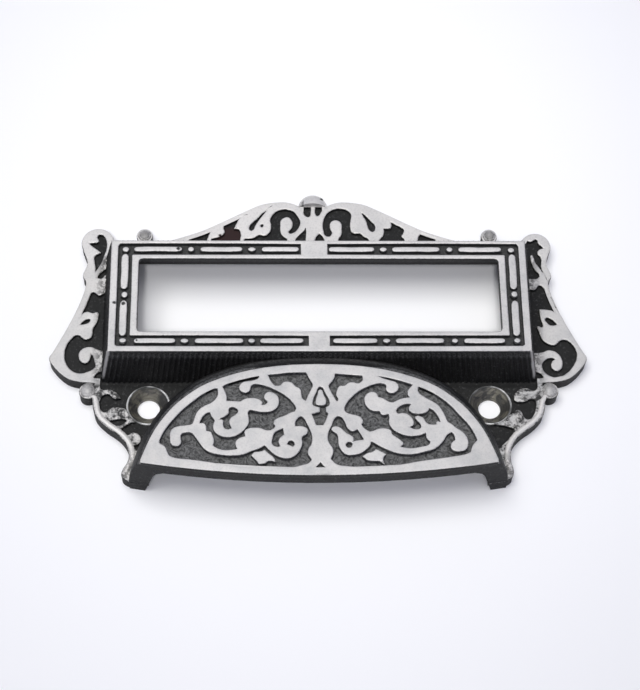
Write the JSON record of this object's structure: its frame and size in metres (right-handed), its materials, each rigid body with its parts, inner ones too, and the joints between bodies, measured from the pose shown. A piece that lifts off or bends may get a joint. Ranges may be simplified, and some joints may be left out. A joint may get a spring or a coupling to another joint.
{
  "type": "label frame pull",
  "caption": "Cast-iron drawer pull with a raised card frame, an open-backed finger pull and a scrolled backplate with countersunk screw holes.",
  "frame": {"origin": "midway between the two screw holes, on the back face that lies on the drawer front", "axes": "+X to the right across the drawer front, +Y up it towards the crest, +Z out of it"},
  "size_m": [0.1016, 0.0646, 0.0123],
  "materials": {
    "iron": "blackened, with the raised faces rubbed bright"
  },
  "bodies": {
    "root": {"pull_casting": "iron"}
  },
  "joints": []
}
